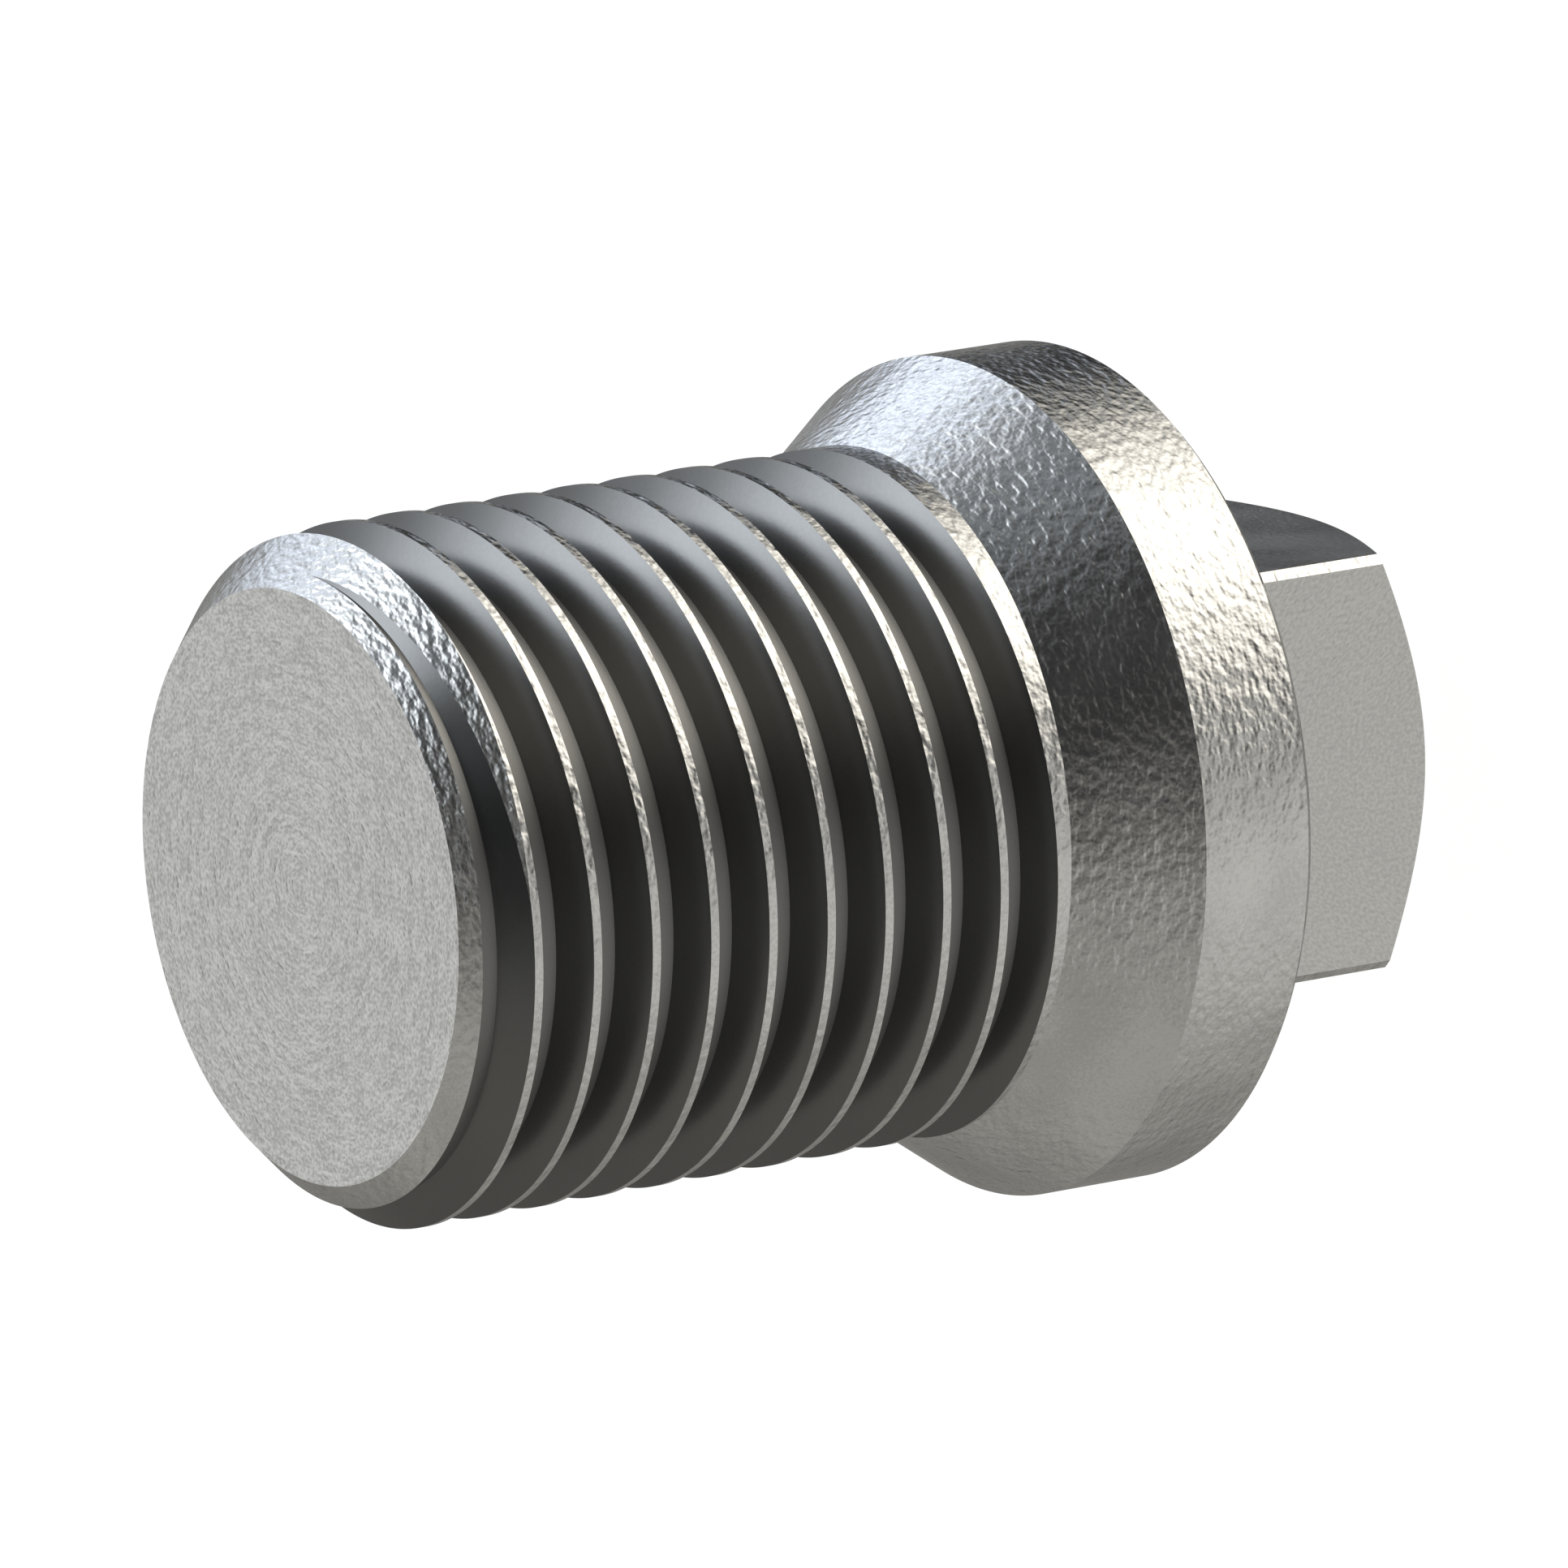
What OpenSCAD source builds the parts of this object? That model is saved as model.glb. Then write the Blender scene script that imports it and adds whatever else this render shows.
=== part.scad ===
// Threaded pipe plug with a conical seat and a square drive head, turned as one piece.
// It stands on the end of its square head, with the thread end up.

/* [Thread] */
// Outside diameter over the thread crests, as on a quarter inch parallel pipe thread
thread_d = 13.157; // [12.5:0.001:13.6]
// Length of the threaded shank, from its end face to the conical seat
shank_h = 12.77; // [8:0.01:30]
// Advance of the thread in one turn
pitch = 1.272; // [1.2:0.001:1.5]
// Depth of the thread groove, from crest to root
thread_depth = 0.68; // [0.45:0.005:0.8]
// Width of the flat on the thread crest
crest_w = 0.177; // [0.1:0.001:0.25]
// Angle of each thread flank from square to the axis
flank_angle = 30; // [25:0.5:32]
// Chamfer at the thread end, measured along the axis
end_chamfer = 0.99; // [0.4:0.01:1.8]
// Azimuth where the middle of the groove crosses the plane of the thread end
groove_start = 131.2; // [0:0.1:360]
// Least length of plain shank left between the groove's run-out and the seat
run_out_land = 0.03; // [0.02:0.01:1]

/* [Seat and rim] */
// Diameter of the rim
rim_d = 16; // [14.5:0.1:22]
// Length of the cylindrical rim, with its broken rear edge
rim_h = 2.44; // [1:0.01:6]
// Length of the conical seat, from the shank to the rim
seat_h = 2.06; // [0.8:0.01:5]
// Size of the small 45 degree bevel that breaks the rim's rear edge
rim_edge = 0.15; // [0.05:0.01:0.5]

/* [Square head] */
// Width across the flats of the square
head_af = 8; // [6:0.1:9.5]
// Diameter over the turned corners of the square
corner_d = 11.08; // [9.8:0.01:13]
// Length of the square head, below the rim
head_h = 5.37; // [3:0.01:12]
// Diameter of the flat end face, inside the bevel
head_face_d = 7.6; // [5:0.1:9]
// Angle of the bevel on the end of the head, from the end face
bevel_angle = 30; // [15:1:45]

/* [Hidden] */
$fn = 96;
STEEL = "#a9aaa7";
GROOVE_STEEL = "#4c4d4c";

// Steps of the groove in one turn
TURN_STEPS = 48;

thread_r = thread_d / 2;
rim_r = rim_d / 2;
corner_r = corner_d / 2;
head_face_r = head_face_d / 2;

rim_z = head_h;
seat_z = rim_z + rim_h;
shank_z = seat_z + seat_h;
top_z = shank_z + shank_h;

// The groove is a trapezoid with a flat root and straight flanks
flank_slope = tan(flank_angle);
groove_w = pitch - crest_w;
root_w = max(0.05, groove_w - 2 * thread_depth * flank_slope);
root_r = thread_r - thread_depth;

// The cutter reaches past the crests by less than would join two of its turns
cutter_over = crest_w / 4 / flank_slope;
cutter_r = thread_r + cutter_over;

// The cutter comes in ahead of the end face. Where the groove's rear edge nears the seat, it
// draws out of the steel, and keeps that edge a land's length short of the seat's small end.
entry_turn = -0.5 * (groove_w + crest_w) / pitch - 0.15;
draw_turn = (shank_h - run_out_land - groove_w / 2) / pitch;
exit_lift = thread_depth + cutter_over / 2;
exit_turn = draw_turn + exit_lift * flank_slope / pitch;
steps = ceil((exit_turn - entry_turn) * TURN_STEPS);

// How far the cutter has drawn out at a turn
function lift(turn) = turn < draw_turn ? 0 : (turn - draw_turn) * pitch / flank_slope;

// Half of the cutter's width at a radius
function half_width(r, turn) = root_w / 2 + (r - root_r - lift(turn)) * flank_slope;

// A point of the cutter: a right-hand thread turns clockwise as it goes down from the top
function groove_point(r, turn, side) =
    let (angle = groove_start - 360 * turn)
    [r * cos(angle), r * sin(angle), top_z - turn * pitch - side * half_width(r, turn)];

// The four corners of the cutter at a turn, from the root's upper one round to the mouth's
function groove_ring(turn) = [
    groove_point(root_r + lift(turn), turn, -1),
    groove_point(root_r + lift(turn), turn, 1),
    groove_point(cutter_r, turn, 1),
    groove_point(cutter_r, turn, -1)
];

module groove_cutter() {
    turns = [for (i = [0:steps]) entry_turn + (exit_turn - entry_turn) * i / steps];
    points = [for (turn = turns) each groove_ring(turn)];
    sides = [for (i = [0:steps - 1], k = [0:3])
        let (a = 4 * i + k, b = 4 * i + (k + 1) % 4)
        each [[a, b + 4, b], [a, a + 4, b + 4]]];
    first = [[0, 1, 2, 3]];
    last = [[for (k = [0:3]) 4 * steps + 3 - k]];
    polyhedron(points = points, faces = concat(first, sides, last));
}

module shank_blank() {
    translate([0, 0, shank_z])
        rotate_extrude()
            polygon([
                [0, 0],
                [thread_r, 0],
                [thread_r, shank_h - end_chamfer],
                [thread_r - end_chamfer, shank_h],
                [0, shank_h]
            ]);
}

module threaded_shank() {
    color(GROOVE_STEEL)
        difference() {
            shank_blank();
            groove_cutter();
        }
}

module seat_and_rim() {
    color(STEEL)
        rotate_extrude()
            polygon([
                [0, rim_z],
                [rim_r - rim_edge, rim_z],
                [rim_r, rim_z + rim_edge],
                [rim_r, seat_z],
                [thread_r, shank_z],
                [0, shank_z]
            ]);
}

// The square, with its corners turned round and its end bevelled by the same turning
module square_head() {
    bevel_h = (corner_r - head_face_r) * tan(bevel_angle);
    color(STEEL)
        intersection() {
            translate([-head_af / 2, -head_af / 2, 0])
                cube([head_af, head_af, head_h]);
            rotate_extrude()
                polygon([
                    [0, 0],
                    [head_face_r, 0],
                    [corner_r, bevel_h],
                    [corner_r, head_h],
                    [0, head_h]
                ]);
        }
}

module plug() {
    union() {
        square_head();
        seat_and_rim();
        threaded_shank();
    }
}

plug();
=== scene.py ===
"""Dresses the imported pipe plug.

The plug is one turned piece of steel, so one closed mesh replaces its one CAD node. The mesh is worked
out with numpy as a surface over azimuth and distance along the profile, with the helical groove and the
square head true to the CAD source. Four steel finishes, a studio and the camera follow.
"""

import logging
import math
from dataclasses import dataclass
from enum import IntEnum

import bmesh
import bpy
import numpy as np
from mathutils import Matrix


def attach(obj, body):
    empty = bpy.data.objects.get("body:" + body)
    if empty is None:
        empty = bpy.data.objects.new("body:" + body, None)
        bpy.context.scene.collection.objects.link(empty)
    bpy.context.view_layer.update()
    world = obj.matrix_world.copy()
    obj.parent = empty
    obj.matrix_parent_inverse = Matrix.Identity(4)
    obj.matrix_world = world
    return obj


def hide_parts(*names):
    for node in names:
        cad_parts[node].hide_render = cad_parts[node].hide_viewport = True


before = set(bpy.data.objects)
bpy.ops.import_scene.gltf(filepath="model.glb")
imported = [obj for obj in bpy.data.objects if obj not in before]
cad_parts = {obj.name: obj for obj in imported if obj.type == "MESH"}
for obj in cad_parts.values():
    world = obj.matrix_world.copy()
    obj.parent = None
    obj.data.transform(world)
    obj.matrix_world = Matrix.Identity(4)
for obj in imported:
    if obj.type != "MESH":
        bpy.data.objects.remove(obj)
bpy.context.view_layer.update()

log = logging.getLogger("pipe_plug")

# Metres in a millimetre
MM = 0.001
# The CAD node that the mesh stands for and the body that it rides on
NODE = "plug"
BODY = "root"
# The mesh attribute that holds where each point lies for the tool marks, in mm
GRAIN = "grain"
# Radii that differ by less than this are the same, in mm
SAME = 1e-6
# Two lines whose gap changes by less than this from one row to the next never cross, in mm
PARALLEL = 1e-9
# Stands for such a change, so that the row for the crossing falls on the row before it
FAR = 1e9
# Points nearer to each other than this are merged, in metres
MERGE_DISTANCE = 2e-7
# Edges shorter than this are dissolved, in metres
SHORT_EDGE = 1e-8
# Values between which nearly all of a noise lies
NOISE_LOW = 0.3
NOISE_HIGH = 0.7
# Degrees from one side of the square to the next
QUARTER = 90.0
WHITE = (1.0, 1.0, 1.0)

# The camera's azimuth and elevation round the plug, in degrees, as fitted to the photograph
VIEW_AZIMUTH = 14.82
VIEW_ELEVATION = 31.644


class Finish(IntEnum):
    """The steel's finishes, in the order of the mesh's material slots."""

    FACED = 0
    TURNED = 1
    GROOVE = 2
    MILLED = 3


def faces_on(points: np.ndarray) -> np.ndarray:
    """Tells which faces of a grid have all four corners on one surface.

    Args:
        points: Whether each point of the grid lies on the surface.

    Returns:
        The answer for each face, with one row and one column fewer.
    """
    return points[:-1, :-1] & points[1:, :-1] & points[:-1, 1:] & points[1:, 1:]


@dataclass(frozen=True)
class Profile:
    """Rows of the plug's surface, from the thread end towards the head.

    Each array has one row for each step along the profile and one column for each azimuth.
    """

    depth: np.ndarray
    """Distance from the thread end's plane, in mm."""
    radius: np.ndarray
    """Distance from the axis, in mm."""
    path: np.ndarray
    """Distance run along the surface, in mm, by which the grain is laid."""
    finish: np.ndarray
    """Finish of each face, with one column fewer than the others."""


@dataclass(frozen=True)
class ThreadedShank:
    """The chamfered shank and its one right-hand groove, in mm and degrees."""

    thread_d: float = 13.157
    shank_h: float = 12.77
    pitch: float = 1.272
    thread_depth: float = 0.68
    crest_w: float = 0.177
    flank_angle: float = 30.0
    end_chamfer: float = 0.99
    groove_start: float = 131.2
    run_out_land: float = 0.03

    @property
    def thread_r(self) -> float:
        """Radius over the crests."""
        return self.thread_d / 2

    @property
    def face_r(self) -> float:
        """Radius of the flat end face, inside the chamfer."""
        return self.thread_r - self.end_chamfer

    def chamfer_radius(self, depth: np.ndarray) -> np.ndarray:
        """Radius of the 45 degree chamfer's cone: it grows by as much as the depth does.

        Args:
            depth: Distances from the thread end's plane, in mm.

        Returns:
            The cone's radius at each depth, in mm.
        """
        return self.face_r + depth

    def groove(self, azimuth: np.ndarray) -> tuple[np.ndarray, np.ndarray]:
        """Works out the groove's corners along each azimuth.

        The groove's middle lies at a depth of pitch times turn, where the turn falls by one for each
        360 degrees of azimuth. Its root is flat and its flanks lean out by the flank angle. Near the
        seat the root rises out of the steel, by the pitch over the flank's slope in one turn, which
        holds the groove's rear edge at one depth.

        Args:
            azimuth: Azimuths of the columns, in degrees.

        Returns:
            Depths and radii of each turn's front mouth, root front, root rear and rear mouth, four rows
            a turn.
        """
        slope = math.tan(math.radians(self.flank_angle))
        groove_w = self.pitch - self.crest_w
        root_half = groove_w / 2 - self.thread_depth * slope
        root_r = self.thread_r - self.thread_depth
        draw_turn = (self.shank_h - self.run_out_land - groove_w / 2) / self.pitch
        # One turn is laid out before the end face, and enough of them to pass the seat
        numbers = np.arange(-1, int(self.shank_h / self.pitch) + 2)
        turn = numbers[:, None] + (self.groove_start - azimuth[None, :]) / 360
        lift = np.clip((turn - draw_turn) * self.pitch / slope, 0, self.thread_depth)
        mouth_half = root_half + (self.thread_depth - lift) * slope
        middle = self.pitch * turn
        offsets = (-mouth_half, -root_half, root_half, mouth_half)
        depth = np.stack([middle + offset for offset in offsets], 1)
        crest = np.full_like(turn, self.thread_r)
        radius = np.stack([crest, root_r + lift, root_r + lift, crest], 1)
        columns = len(azimuth)
        return depth.reshape(-1, columns), radius.reshape(-1, columns)

    def profile(self, azimuth: np.ndarray) -> Profile:
        """Lays the groove's corners on the shank, trimmed by the chamfer and by the shank's two ends.

        Between two corners the profile is straight, so it meets the chamfer's straight line once at
        most. One more row is put there: its place is the share of the way at which profile radius less
        chamfer radius comes to zero, held between 0 and 1. Then every row takes the lesser of its own
        radius and the chamfer's, and rows past an end of the shank are drawn back to that end.

        Args:
            azimuth: Azimuths of the columns, in degrees.

        Returns:
            The rows from the end face's edge to the seat.
        """
        depth, radius = self.groove(azimuth)
        over = radius - self.chamfer_radius(depth)
        change = over[:-1] - over[1:]
        share = np.clip(over[:-1] / np.where(np.abs(change) < PARALLEL, FAR, change), 0, 1)
        cross_depth = depth[:-1] + share * np.diff(depth, axis=0)
        cross_radius = radius[:-1] + share * np.diff(radius, axis=0)
        rows = 2 * len(depth) - 1
        s = np.empty((rows, len(azimuth)))
        r = np.empty_like(s)
        s[0::2], s[1::2] = depth, cross_depth
        r[0::2], r[1::2] = radius, cross_radius
        r = np.minimum(r, self.chamfer_radius(s))
        r = np.where(s <= 0, self.face_r, r)
        r = np.where(s >= self.shank_h, self.thread_r, r)
        s = np.clip(s, 0, self.shank_h)

        on_chamfer = faces_on(np.abs(r - self.chamfer_radius(s)) < SAME)
        on_crest = faces_on(r > self.thread_r - SAME)
        finish = np.where(on_chamfer | on_crest, Finish.TURNED, Finish.GROOVE)
        slant_extra = math.sqrt(2) - 1
        path = self.face_r + s + slant_extra * np.minimum(s, self.end_chamfer)
        return Profile(s, r, path, finish)


@dataclass(frozen=True)
class SeatAndRim:
    """The conical seat and the cylindrical rim with its broken rear edge, in mm."""

    rim_d: float = 16.0
    rim_h: float = 2.44
    seat_h: float = 2.06
    rim_edge: float = 0.15
    strips: int = 6
    """Rows on the cone, and as many on the rim."""

    @property
    def rim_r(self) -> float:
        """Radius of the rim."""
        return self.rim_d / 2

    @property
    def back_r(self) -> float:
        """Radius of the rim's flat back, inside its broken edge."""
        return self.rim_r - self.rim_edge

    def profile(self, start_depth: float, start_radius: float, start_path: float, columns: int) -> Profile:
        """Runs straight down the cone, straight along the rim, then in over its broken rear edge.

        Args:
            start_depth: Depth of the seat's small end, in mm.
            start_radius: Radius of the seat's small end, in mm.
            start_path: Path length there, in mm.
            columns: Number of azimuths.

        Returns:
            The rows from the first one past the seat's small end to the rim's back.
        """
        t = np.arange(1, self.strips + 1) / self.strips
        rim_start = start_depth + self.seat_h
        rim_end = rim_start + self.rim_h
        cone_s = start_depth + t * self.seat_h
        cone_r = start_radius + t * (self.rim_r - start_radius)
        rim_s = rim_start + t * (self.rim_h - self.rim_edge)
        s = np.concatenate([cone_s, rim_s, [rim_end]])
        r = np.concatenate([cone_r, np.full_like(rim_s, self.rim_r), [self.back_r]])
        steps = np.hypot(np.diff(s, prepend=start_depth), np.diff(r, prepend=start_radius))
        path = start_path + np.cumsum(steps)
        wide = [np.repeat(v[:, None], columns, 1) for v in (s, r, path)]
        finish = np.full((len(s) - 1, columns - 1), Finish.TURNED)
        return Profile(*wide, finish)


@dataclass(frozen=True)
class SquareHead:
    """The square, with its turned corners and bevelled end, in mm and degrees."""

    head_af: float = 8.0
    corner_d: float = 11.08
    head_h: float = 5.37
    head_face_d: float = 7.6
    bevel_angle: float = 30.0
    back_strips: int = 4
    """Rows on the rim's back, and then on the sides, the bevel and the end face."""
    side_strips: int = 6
    bevel_strips: int = 3
    end_strips: int = 6

    @property
    def corner_r(self) -> float:
        """Radius of the turned corners."""
        return self.corner_d / 2

    def corner_azimuths(self) -> np.ndarray:
        """Finds where the flats meet the turned corners, and the corners' middles.

        Returns:
            Their azimuths, in degrees.
        """
        flat_end = math.degrees(math.acos(self.head_af / self.corner_d))
        offsets = np.array([flat_end, QUARTER / 2, QUARTER - flat_end])
        return (offsets[None, :] + QUARTER * np.arange(4)[:, None]).ravel()

    def outline(self, azimuth: np.ndarray) -> np.ndarray:
        """Radius of the head's outline: half the width over the cosine from the nearest flat's middle,
        and never more than the turned corner's radius.

        Args:
            azimuth: Azimuths, in degrees.

        Returns:
            Radius at each azimuth, in mm.
        """
        off = (azimuth + QUARTER / 2) % QUARTER - QUARTER / 2
        return np.minimum(self.head_af / 2 / np.cos(np.radians(off)), self.corner_r)

    def profile(self, azimuth: np.ndarray, start_depth: float, start_radius: float,
                start_path: float) -> Profile:
        """Runs in along the rim's back, down the side, in along the bevel and in along the end.

        The bevel is a cone: its height above the end is its distance out from the end face's edge,
        times the tangent of the bevel's angle.

        Args:
            azimuth: Azimuths of the columns, in degrees.
            start_depth: Depth of the rim's back, in mm.
            start_radius: Radius of the rim's back, in mm.
            start_path: Path length there, in mm.

        Returns:
            The rows from the first one in from the rim's rear edge to the axis.
        """
        columns = len(azimuth)
        face_r = self.head_face_d / 2
        end = start_depth + self.head_h
        back_s = np.full(columns, start_depth)
        end_s = np.full(columns, end)
        back_r = np.full(columns, start_radius)
        face = np.full(columns, face_r)
        side = self.outline(azimuth)
        bevel_s = end - (side - face_r) * math.tan(math.radians(self.bevel_angle))

        middle = (azimuth[:-1] + azimuth[1:]) / 2
        turned = np.full(columns - 1, Finish.TURNED)
        faced = np.full(columns - 1, Finish.FACED)
        sides = np.where(self.outline(middle) < self.corner_r - SAME, Finish.MILLED, Finish.TURNED)
        s_rows, r_rows, finishes = [back_s[None, :]], [back_r[None, :]], []

        def run(steps: int, s_from: np.ndarray, s_to: np.ndarray, r_from: np.ndarray, r_to: np.ndarray,
                finish: np.ndarray) -> None:
            """Adds evenly spaced rows from one line of points to the next, all of one finish a column."""
            t = (np.arange(1, steps + 1) / steps)[:, None]
            s_rows.append(s_from + t * (s_to - s_from))
            r_rows.append(r_from + t * (r_to - r_from))
            finishes.append(np.repeat(finish[None, :], steps, 0))

        run(self.back_strips, back_s, back_s, back_r, side, turned)
        run(self.side_strips, back_s, bevel_s, side, side, sides)
        run(self.bevel_strips, bevel_s, end_s, side, face, turned)
        run(self.end_strips, end_s, end_s, face, np.zeros(columns), faced)
        s = np.concatenate(s_rows)
        r = np.concatenate(r_rows)
        path = start_path + np.cumsum(np.hypot(np.diff(s, axis=0), np.diff(r, axis=0)), axis=0)
        return Profile(s[1:], r[1:], path, np.concatenate(finishes))


@dataclass(frozen=True)
class PlugMesh:
    """Joins the shank, the collar and the head into one closed surface."""

    shank: ThreadedShank = ThreadedShank()
    collar: SeatAndRim = SeatAndRim()
    head: SquareHead = SquareHead()
    columns: int = 600
    """Evenly spaced columns round the axis."""
    face_rings: int = 8
    """Rings on the thread end's face."""
    corner_gap: float = 0.08
    """Even columns nearer than this to one of the head's corners give way to it, in degrees."""
    sharp_angle: float = 10.0
    """Edges between faces that turn by more than this are shaded sharp, in degrees."""

    @property
    def back_depth(self) -> float:
        """Depth of the rim's back, in mm."""
        return self.shank.shank_h + self.collar.seat_h + self.collar.rim_h

    @property
    def length(self) -> float:
        """Length of the whole plug, in mm."""
        return self.back_depth + self.head.head_h

    def azimuths(self) -> np.ndarray:
        """Spaces the columns evenly and adds the head's corners.

        Returns:
            Azimuths from 0 to 360 degrees, with both of these.
        """
        even = np.linspace(0.0, 360.0, self.columns + 1)
        corners = self.head.corner_azimuths()
        near = np.abs(even[:, None] - corners[None, :]).min(1) < self.corner_gap
        return np.sort(np.concatenate([even[~near], corners]))

    def profile(self, azimuth: np.ndarray) -> Profile:
        """Stacks the rows of the end face, the shank, the collar and the head.

        Args:
            azimuth: Azimuths of the columns, in degrees.

        Returns:
            All rows, from the axis at the thread end to the axis at the head's end.
        """
        columns = len(azimuth)
        share = np.arange(self.face_rings) / self.face_rings
        face_r = np.repeat((share * self.shank.face_r)[:, None], columns, 1)
        thread = self.shank.profile(azimuth)
        collar = self.collar.profile(self.shank.shank_h, self.shank.thread_r, float(thread.path[-1, 0]),
                                     columns)
        head = self.head.profile(azimuth, self.back_depth, self.collar.back_r,
                                 float(collar.path[-1, 0]))
        faced = np.full((self.face_rings, columns - 1), Finish.FACED)
        join = np.full((1, columns - 1), Finish.TURNED)
        return Profile(
            np.vstack([np.zeros_like(face_r), thread.depth, collar.depth, head.depth]),
            np.vstack([face_r, thread.radius, collar.radius, head.radius]),
            np.vstack([face_r, thread.path, collar.path, head.path]),
            np.vstack([faced, thread.finish, join, collar.finish, head.finish]),
        )

    def build(self, name: str) -> bpy.types.Object:
        """Makes the mesh: a point for each row and column, at radius times the cosine and sine of the
        azimuth, and at the plug's length less the depth.

        Args:
            name: Name of the new object.

        Returns:
            The closed, smooth-shaded object, in metres.
        """
        azimuth = self.azimuths()
        rows = self.profile(azimuth)
        turn = np.radians(azimuth)[None, :]
        x = rows.radius * np.cos(turn)
        y = rows.radius * np.sin(turn)
        z = self.length - rows.depth
        points = np.stack([x, y, z], -1).reshape(-1, 3) * MM
        grain = np.stack([x, y, rows.path], -1).reshape(-1, 3)

        count_r, count_c = rows.depth.shape
        i, j = np.meshgrid(np.arange(count_r - 1), np.arange(count_c - 1), indexing="ij")
        a = i * count_c + j
        quads = np.stack([a, a + count_c, a + count_c + 1, a + 1], -1).reshape(-1, 4)

        mesh = bpy.data.meshes.new(name)
        mesh.from_pydata(points.tolist(), [], quads.tolist())
        mesh.attributes.new(GRAIN, "FLOAT_VECTOR", "POINT").data.foreach_set("vector", grain.ravel())
        mesh.polygons.foreach_set("material_index", rows.finish.ravel().astype(np.int32))
        self.close(mesh)
        obj = bpy.data.objects.new(name, mesh)
        bpy.context.scene.collection.objects.link(obj)
        return obj

    def close(self, mesh: bpy.types.Mesh) -> None:
        """Merges the seam, the poles and the rows drawn back to an end, then sets the shading.

        Args:
            mesh: The mesh to close.
        """
        work = bmesh.new()
        work.from_mesh(mesh)
        bmesh.ops.remove_doubles(work, verts=work.verts, dist=MERGE_DISTANCE)
        bmesh.ops.dissolve_degenerate(work, edges=work.edges, dist=SHORT_EDGE)
        bmesh.ops.recalc_face_normals(work, faces=work.faces)
        work.to_mesh(mesh)
        work.free()
        mesh.shade_smooth()
        mesh.set_sharp_from_angle(angle=math.radians(self.sharp_angle))
        mesh.update()


class Board:
    """A small wrapper that adds and joins shader nodes in one tree."""

    def __init__(self, tree: bpy.types.NodeTree) -> None:
        """Clears the tree and keeps it.

        Args:
            tree: The shader tree to build in.
        """
        tree.nodes.clear()
        self.tree = tree

    def add(self, kind: str, **settings: object) -> bpy.types.Node:
        """Adds a node.

        Args:
            kind: The node's type name.
            **settings: Properties to set on it.

        Returns:
            The new node.
        """
        node = self.tree.nodes.new(kind)
        for key, value in settings.items():
            setattr(node, key, value)
        return node

    def join(self, source: bpy.types.NodeSocket, target: bpy.types.NodeSocket) -> None:
        """Joins one socket to another.

        Args:
            source: The output that gives the value.
            target: The input that takes it.
        """
        self.tree.links.new(source, target)

    def math(self, operation: str, *values: object) -> bpy.types.NodeSocket:
        """Adds a math node.

        Args:
            operation: Its operation.
            *values: Sockets or numbers for its inputs.

        Returns:
            The result's socket.
        """
        node = self.add("ShaderNodeMath", operation=operation)
        for socket, value in zip(node.inputs, values):
            if isinstance(value, bpy.types.NodeSocket):
                self.join(value, socket)
            else:
                socket.default_value = value
        return node.outputs[0]

    def ease(self, value: bpy.types.NodeSocket, start: float, end: float, low: float = 0.0,
             high: float = 1.0) -> bpy.types.NodeSocket:
        """Maps a value from one range to another with a smooth step.

        Args:
            value: The socket to map.
            start: Value that gives low.
            end: Value that gives high.
            low: Result at the start.
            high: Result at the end.

        Returns:
            The result's socket.
        """
        node = self.add("ShaderNodeMapRange", interpolation_type="SMOOTHSTEP", clamp=True)
        self.join(value, node.inputs["Value"])
        node.inputs["From Min"].default_value = start
        node.inputs["From Max"].default_value = end
        node.inputs["To Min"].default_value = low
        node.inputs["To Max"].default_value = high
        return node.outputs["Result"]

    def mix(self, factor: bpy.types.NodeSocket, below: object, above: object) -> bpy.types.NodeSocket:
        """Mixes two colours.

        Args:
            factor: Share of the second colour.
            below: Socket or colour shown at 0.
            above: Socket or colour shown at 1.

        Returns:
            The result's socket.
        """
        node = self.add("ShaderNodeMix", data_type="RGBA", clamp_result=False)
        self.join(factor, node.inputs["Factor"])
        for name, value in (("A", below), ("B", above)):
            socket = [s for s in node.inputs if s.name == name and s.type == "RGBA"][0]
            if isinstance(value, bpy.types.NodeSocket):
                self.join(value, socket)
            else:
                socket.default_value = (*value, 1.0)
        return [s for s in node.outputs if s.type == "RGBA"][0]

    def noise(self, vector: bpy.types.NodeSocket, scale: float, detail: float) -> bpy.types.NodeSocket:
        """Adds a noise.

        Args:
            vector: Where the noise is read.
            scale: Its scale.
            detail: Its octaves.

        Returns:
            Its value, around a half.
        """
        node = self.add("ShaderNodeTexNoise")
        node.inputs["Scale"].default_value = scale
        node.inputs["Detail"].default_value = detail
        self.join(vector, node.inputs["Vector"])
        return node.outputs["Fac"]

    def blend(self, factor: bpy.types.NodeSocket, below: bpy.types.NodeSocket,
              above: bpy.types.NodeSocket) -> bpy.types.NodeSocket:
        """Mixes two shaders.

        Args:
            factor: Share of the second shader.
            below: Shader shown at 0.
            above: Shader shown at 1.

        Returns:
            The mixed shader's socket.
        """
        node = self.add("ShaderNodeMixShader")
        for source, target in zip((factor, below, above), node.inputs):
            self.join(source, target)
        return node.outputs[0]


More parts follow.
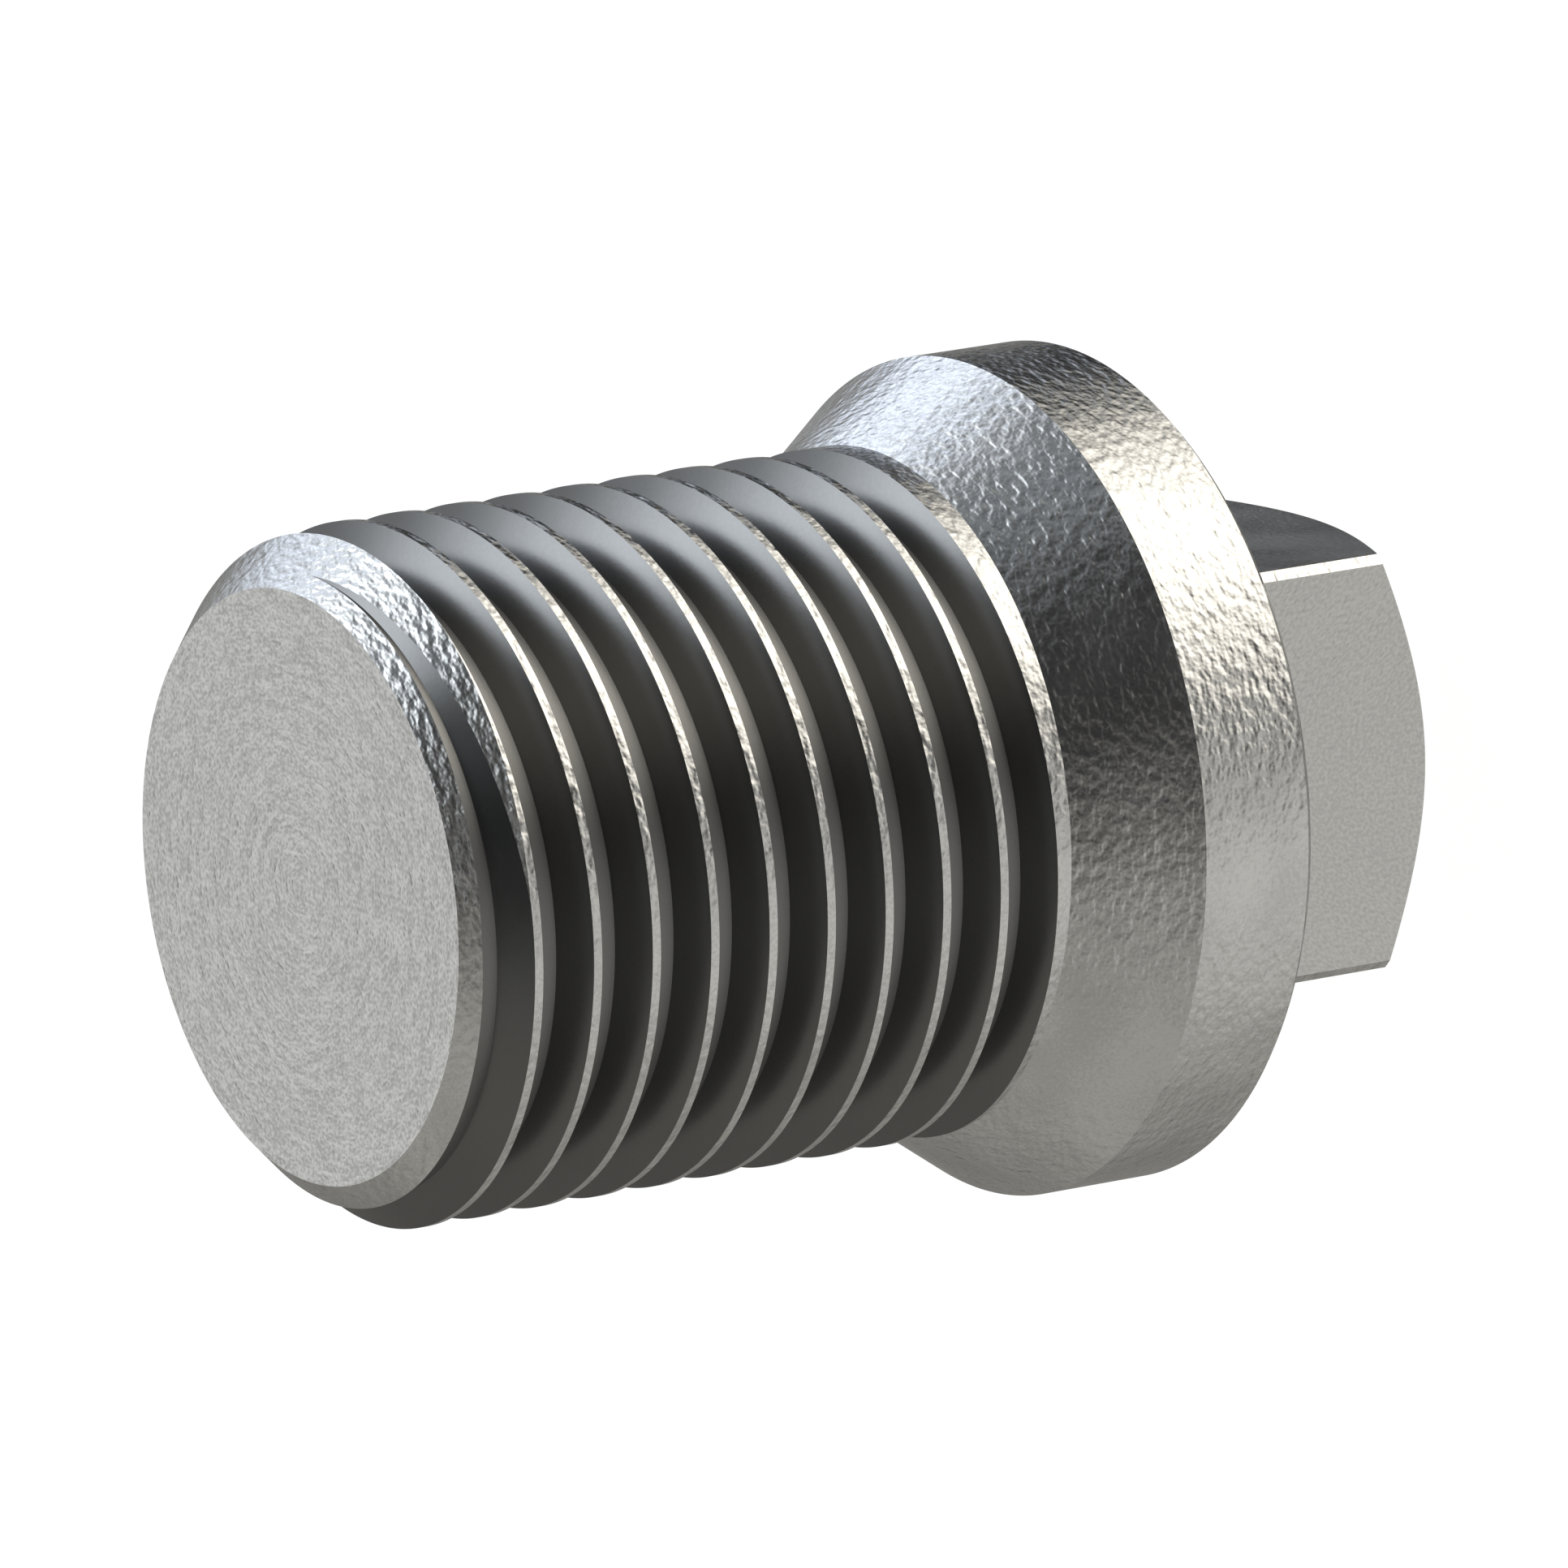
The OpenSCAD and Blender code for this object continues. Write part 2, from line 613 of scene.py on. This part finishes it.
@dataclass(frozen=True)
class SteelFinish:
    """One finish of the steel: its tone, its sheen and the marks left by the tool."""

    name: str
    dark: tuple[float, float, float]
    light: tuple[float, float, float]
    rough_low: float
    """Roughness at the low end of the patches, and then at the high end."""
    rough_high: float
    tone_scale: float
    """Patches of tone and sheen in a millimetre of grain."""
    grit: float
    """Share of the finer marks in the tone."""
    lines: float
    """Share of the tool marks in the tone, the rest being the patches."""
    mark_scale: float
    """Tool marks in a millimetre of grain."""
    mark_detail: float
    """Octaves of the tool marks."""
    mark_height: float
    """Height of the tool marks, in mm."""
    fine_scale: float
    """Finer marks in a millimetre of grain."""
    fine_height: float
    """Height of the finer marks, in mm."""
    along: float
    """How much longer the tool marks are round the axis than along the profile."""

    def material(self) -> bpy.types.Material:
        """Builds the finish as a metal whose marks follow the grain round the axis.

        Returns:
            The new material.
        """
        mat = bpy.data.materials.new(self.name)
        mat.use_nodes = True
        board = Board(mat.node_tree)
        out = board.add("ShaderNodeOutputMaterial")
        metal = board.add("ShaderNodeBsdfPrincipled")
        metal.inputs["Metallic"].default_value = 1.0
        board.join(metal.outputs[0], out.inputs["Surface"])

        grain = board.add("ShaderNodeAttribute", attribute_name=GRAIN)
        laid = board.add("ShaderNodeMapping")
        laid.inputs["Scale"].default_value = (1 / self.along, 1 / self.along, 1.0)
        board.join(grain.outputs["Vector"], laid.inputs["Vector"])

        patches = board.noise(grain.outputs["Vector"], self.tone_scale, detail=1.0)
        marks = board.noise(laid.outputs[0], self.mark_scale, self.mark_detail)
        fine = board.noise(grain.outputs["Vector"], self.fine_scale, detail=0.0)
        tone = board.math("MULTIPLY", patches, 1 - self.grit - self.lines)
        for part, share in ((fine, self.grit), (marks, self.lines)):
            tone = board.math("ADD", tone, board.math("MULTIPLY", part, share))
        colour = board.mix(board.ease(tone, NOISE_LOW, NOISE_HIGH), self.dark, self.light)
        board.join(colour, metal.inputs["Base Color"])
        rough = board.ease(patches, NOISE_LOW, NOISE_HIGH, self.rough_low, self.rough_high)
        board.join(rough, metal.inputs["Roughness"])

        fine_share = board.math("MULTIPLY", fine, self.fine_height / self.mark_height)
        bump = board.add("ShaderNodeBump")
        bump.inputs["Strength"].default_value = 1.0
        bump.inputs["Distance"].default_value = self.mark_height * MM
        board.join(board.math("ADD", marks, fine_share), bump.inputs["Height"])
        board.join(bump.outputs[0], metal.inputs["Normal"])
        return mat


FINISHES = {
    Finish.FACED: SteelFinish(
        name="steel_faced", dark=(0.45, 0.45, 0.442), light=(0.70, 0.70, 0.688),
        rough_low=0.28, rough_high=0.31, tone_scale=0.5, grit=0.58, lines=0.34,
        mark_scale=5.5, mark_detail=1.0, mark_height=0.025,
        fine_scale=12.0, fine_height=0.010, along=3.2),
    Finish.TURNED: SteelFinish(
        name="steel_turned", dark=(0.56, 0.56, 0.553), light=(0.68, 0.68, 0.672),
        rough_low=0.18, rough_high=0.23, tone_scale=0.6, grit=0.4, lines=0.0,
        mark_scale=5.8, mark_detail=1.2, mark_height=0.044,
        fine_scale=15.0, fine_height=0.0045, along=1.6),
    Finish.GROOVE: SteelFinish(
        name="steel_groove", dark=(0.172, 0.172, 0.171), light=(0.184, 0.184, 0.183),
        rough_low=0.24, rough_high=0.28, tone_scale=0.4, grit=0.3, lines=0.0,
        mark_scale=3.0, mark_detail=1.0, mark_height=0.002,
        fine_scale=12.0, fine_height=0.0004, along=2.0),
    Finish.MILLED: SteelFinish(
        name="steel_milled", dark=(0.545, 0.545, 0.535), light=(0.655, 0.655, 0.643),
        rough_low=0.26, rough_high=0.32, tone_scale=0.5, grit=0.7, lines=0.0,
        mark_scale=8.0, mark_detail=1.0, mark_height=0.010,
        fine_scale=14.0, fine_height=0.004, along=1.3),
}


@dataclass(frozen=True)
class Panel:
    """A soft-edged panel of light, or a dark card, far off round the plug.

    All its measures are angles in degrees. Azimuth is counted from the camera's, and elevation from
    the floor. An edge fades over twice its softness, half of it inside the edge and half outside.
    """

    name: str
    azimuth: float
    elevation: float
    half_width: float
    half_height: float
    soft: float
    light: tuple[float, float, float]

    def axes(self) -> tuple[tuple[float, float, float], ...]:
        """Works out the panel's middle, its level direction and its upright direction.

        Returns:
            Three unit vectors.
        """
        a = math.radians(VIEW_AZIMUTH + self.azimuth)
        e = math.radians(self.elevation)
        middle = (math.cos(e) * math.cos(a), math.cos(e) * math.sin(a), math.sin(e))
        level = (-math.sin(a), math.cos(a), 0.0)
        upright = (-math.sin(e) * math.cos(a), -math.sin(e) * math.sin(a), math.cos(e))
        return middle, level, upright

    def mask(self, board: Board, direction: bpy.types.NodeSocket) -> bpy.types.NodeSocket:
        """Works out how much of the panel a direction sees, from the angles off its middle.

        Args:
            board: The world's nodes.
            direction: The direction looked in.

        Returns:
            1 on the panel and 0 off it.
        """
        parts = []
        for axis in self.axes():
            dot = board.add("ShaderNodeVectorMath", operation="DOT_PRODUCT")
            board.join(direction, dot.inputs[0])
            dot.inputs[1].default_value = axis
            parts.append(dot.outputs["Value"])
        ahead, level, upright = parts
        across = board.math("ABSOLUTE", board.math("ARCTAN2", level, ahead))
        held = board.math("MINIMUM", board.math("MAXIMUM", upright, -1.0), 1.0)
        rise = board.math("ABSOLUTE", board.math("ARCSINE", held))
        soft = math.radians(self.soft)
        width = math.radians(self.half_width)
        height = math.radians(self.half_height)
        in_width = board.ease(across, width + soft, width - soft)
        in_height = board.ease(rise, height + soft, height - soft)
        return board.math("MULTIPLY", in_width, in_height)


@dataclass(frozen=True)
class Studio:
    """The light round the plug, the floor and the backdrop."""

    room: tuple[float, float, float] = (0.248, 0.2425, 0.2265)
    """Light of the room where no panel hangs."""
    panels: tuple[Panel, ...] = (
        Panel("side_fill", 78, 25, 22, 30, 26, (0.285, 0.31, 0.34)),
        Panel("front_fill", -34.7, -24.8, 48.6, 41.9, 27, (0.678, 0.667, 0.637)),
        Panel("left_fill", -98.9, 14.2, 36, 51.2, 29, (0.429, 0.419, 0.388)),
        Panel("front_card", 24.5, 15, 39.4, 47.9, 30, (0.048, 0.048, 0.049)),
        Panel("low_card", 137, -36.1, 17, 25.6, 4, (0.035, 0.035, 0.035)),
        Panel("key_panel", 57.2, -42.6, 26.9, 30.2, 21.5, (2.22, 2.11, 1.90)),
        Panel("sky_panel", 123.5, 57.7, 12.6, 32.4, 22.5, (3.9, 4.17, 4.44)),
        Panel("end_panel", 175, 34.7, 17.7, 20, 6, (0.81, 0.81, 0.80)),
        Panel("low_sky_panel", 130.1, -2.6, 18, 11.7, 21.5, (2.0, 2.19, 2.535)),
        Panel("top_card", 139.8, 83.6, 20, 19, 6, (0.015, 0.015, 0.013)),
        Panel("backdrop", 180, -31.6, 3, 3, 4, WHITE),
    )
    """Panels in the order in which they are laid, each over those before it."""
    floor_r: float = 0.6
    """Radius of the floor, in metres."""
    floor_sides: int = 96
    floor_colour: tuple[float, float, float] = (0.9, 0.9, 0.9)
    floor_share: float = 0.15
    """Matt share of the floor, which keeps the shadow."""
    floor_white: float = 1.14
    """Strength of the floor's plain white, with which the two shares come to white."""

    def light(self) -> None:
        """Lays the panels over the room's plain tone, one after another.

        The camera sees a plain white backdrop there, and the steel reflects the room and its panels.
        """
        world = bpy.data.worlds.new("studio")
        world.use_nodes = True
        world.cycles.sampling_method = "NONE"
        bpy.context.scene.world = world
        board = Board(world.node_tree)
        out = board.add("ShaderNodeOutputWorld")
        direction = board.add("ShaderNodeTexCoord").outputs["Generated"]
        colour: object = self.room
        for panel in self.panels:
            colour = board.mix(panel.mask(board, direction), colour, panel.light)
        room = board.add("ShaderNodeBackground")
        board.join(colour, room.inputs["Color"])
        backdrop = board.add("ShaderNodeBackground")
        backdrop.inputs["Color"].default_value = (*WHITE, 1.0)
        rays = board.add("ShaderNodeLightPath")
        seen = board.math("MAXIMUM", rays.outputs["Is Camera Ray"], rays.outputs["Is Transmission Ray"])
        board.join(board.blend(seen, room.outputs[0], backdrop.outputs[0]), out.inputs["Surface"])

    def floor(self) -> bpy.types.Object:
        """Makes the plain pale floor that the plug stands on, as a flat round sheet.

        Returns:
            The floor.
        """
        turn = np.linspace(0, 2 * math.pi, self.floor_sides, endpoint=False)
        level = np.zeros_like(turn)
        rim = np.stack([self.floor_r * np.cos(turn), self.floor_r * np.sin(turn), level], -1)
        mesh = bpy.data.meshes.new("floor")
        mesh.from_pydata(rim.tolist(), [], [list(range(len(turn)))])
        floor = bpy.data.objects.new("floor", mesh)
        bpy.context.scene.collection.objects.link(floor)
        mesh.materials.append(self.floor_paint())
        floor.visible_glossy = False
        floor.visible_shadow = False
        return floor

    def floor_paint(self) -> bpy.types.Material:
        """Mixes plain white with a matt share that keeps the plug's soft shadow.

        Returns:
            The floor's material.
        """
        mat = bpy.data.materials.new("floor_pale")
        mat.use_nodes = True
        board = Board(mat.node_tree)
        out = board.add("ShaderNodeOutputMaterial")
        matt = board.add("ShaderNodeBsdfDiffuse")
        matt.inputs["Color"].default_value = (*self.floor_colour, 1.0)
        white = board.add("ShaderNodeEmission")
        white.inputs["Strength"].default_value = self.floor_white
        rays = board.add("ShaderNodeLightPath")
        seen = board.math("MAXIMUM", rays.outputs["Is Camera Ray"], rays.outputs["Is Glossy Ray"])
        seen = board.math("MAXIMUM", seen, rays.outputs["Is Transmission Ray"])
        share = board.math("MULTIPLY", seen, 1 - self.floor_share)
        board.join(board.blend(share, matt.outputs[0], white.outputs[0]), out.inputs["Surface"])
        return mat


@dataclass(frozen=True)
class Camera:
    """The photograph's camera, as fitted to the plug's edges.

    Its place and its clipping distances are in metres, its angles in degrees, and its lens and its
    sensor in mm.
    """

    place: tuple[float, float, float] = (0.29954597, 0.07969690, 0.20290490)
    azimuth: float = VIEW_AZIMUTH
    elevation: float = VIEW_ELEVATION
    roll: float = -99.36012
    lens: float = 445.5949
    sensor: float = 36.0
    clip_start: float = 0.01
    clip_end: float = 10.0

    def build(self) -> bpy.types.Object:
        """Sets the camera up: its back points along the azimuth and elevation, and it is rolled about
        that line so that the plug's axis lies nearly level in the picture.

        Returns:
            The camera.
        """
        a = math.radians(self.azimuth)
        e = math.radians(self.elevation)
        back = np.array([math.cos(e) * math.cos(a), math.cos(e) * math.sin(a), math.sin(e)])
        right = np.array([-math.sin(a), math.cos(a), 0.0])
        up = np.cross(back, right)
        turn = math.radians(self.roll)
        rolled_right = math.cos(turn) * right + math.sin(turn) * up
        rolled_up = math.cos(turn) * up - math.sin(turn) * right
        pose = np.eye(4)
        pose[:3, 0], pose[:3, 1], pose[:3, 2], pose[:3, 3] = rolled_right, rolled_up, back, self.place
        data = bpy.data.cameras.new("photo_camera")
        data.lens = self.lens
        data.sensor_width = self.sensor
        data.clip_start = self.clip_start
        data.clip_end = self.clip_end
        camera = bpy.data.objects.new("photo_camera", data)
        camera.matrix_world = Matrix(pose.tolist())
        bpy.context.scene.collection.objects.link(camera)
        bpy.context.scene.camera = camera
        return camera


def dress_plug() -> bpy.types.Object:
    """Builds the plug's surface, gives it its finishes and puts it in the CAD node's place.

    Returns:
        The dressed plug.
    """
    plug = PlugMesh().build("plug_steel")
    for finish in Finish:
        plug.data.materials.append(FINISHES[finish].material())
    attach(plug, BODY)
    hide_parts(NODE)
    return plug


def main() -> None:
    """Builds the camera, the studio and the plug."""
    logging.basicConfig(level=logging.INFO, format="%(name)s: %(message)s")
    scene = bpy.context.scene
    scene.view_settings.view_transform = "Standard"
    camera = Camera().build()
    log.info("camera %s, lens %.1f mm", camera.name, camera.data.lens)
    studio = Studio()
    studio.light()
    studio.floor()
    log.info("studio with %d panels", len(studio.panels))
    plug = dress_plug()
    log.info("%s: %d points, %d faces", plug.name, len(plug.data.vertices), len(plug.data.polygons))


if __name__ == "__main__":
    main()
